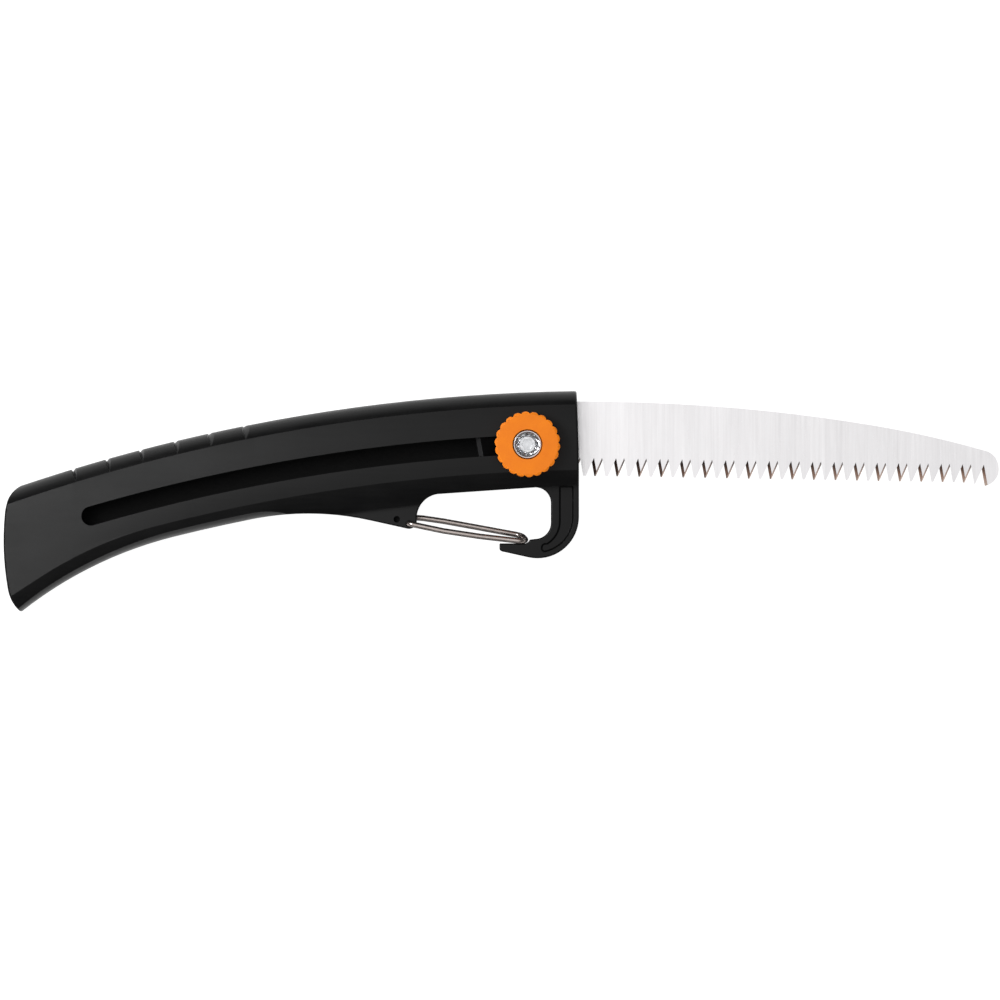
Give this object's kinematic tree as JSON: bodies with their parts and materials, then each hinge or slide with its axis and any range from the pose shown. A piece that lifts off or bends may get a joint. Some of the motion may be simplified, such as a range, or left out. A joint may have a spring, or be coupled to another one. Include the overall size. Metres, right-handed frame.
{
  "type": "retractable pruning saw",
  "caption": "Curved pruning saw whose blade slides out of a hollow handle along an arched slot, locked by a side clamp knob, with a sprung-gate snap hook under the front of the handle.",
  "frame": {"origin": "middle of the overall box in X and Y, on the cover's flat face in Z", "axes": "+X along the handle towards the blade's tip, +Y towards the blade's spine, +Z out of the knob's side"},
  "size_m": [0.383, 0.0848, 0.0294],
  "materials": {
    "shell_plastic": "fine moulded satin black",
    "carrier_plastic": "plain moulded black",
    "knob_plastic": "satin orange",
    "blade_steel": "cross-ground bright steel",
    "spring_wire": "drawn stainless wire",
    "zinc_steel": "bright zinc",
    "bolt_steel": "polished turned steel"
  },
  "bodies": {
    "handle": {"slotted_shell": "shell_plastic", "cover_shell": "shell_plastic", "shell_screws": "zinc_steel", "hook_screw": "zinc_steel"},
    "carriage": {"saw_blade": "blade_steel", "slide_carrier": "carrier_plastic", "backing_shoe": "carrier_plastic", "tang_pins": "zinc_steel", "clamp_nut": "zinc_steel"},
    "washer": {"clamp_washer": "zinc_steel"},
    "knob": {"lock_knob": "knob_plastic", "lock_bolt": "bolt_steel"},
    "gate": {"gate_wire": "spring_wire"}
  },
  "joints": [
    {"name": "blade_slide", "type": "hinge", "parent": "handle", "child": "carriage", "pos_m": [0.03939, -0.6824, 0], "axis": [0, 0, 1], "range_deg": [0, 13.6]},
    {"name": "knob_lift", "type": "slide", "parent": "carriage", "child": "washer", "axis": [0, 0, 1], "range_m": [0, 0.001]},
    {"name": "knob_turn", "type": "hinge", "parent": "washer", "child": "knob", "pos_m": [0.01005, 0.02184, 0], "axis": [0, 0, 1], "range_deg": [0, 360]},
    {"name": "gate_swing", "type": "hinge", "parent": "handle", "child": "gate", "pos_m": [-0.03562, -0.00864, 0], "axis": [0, 0, 1], "range_deg": [0, 20], "stiffness_Nm_per_rad": 0.06, "springref_deg": -11.46}
  ],
  "couplings": [
    {"joint": "knob_lift", "follows": "knob_turn", "m_per_rad": 0.00015915}
  ]
}
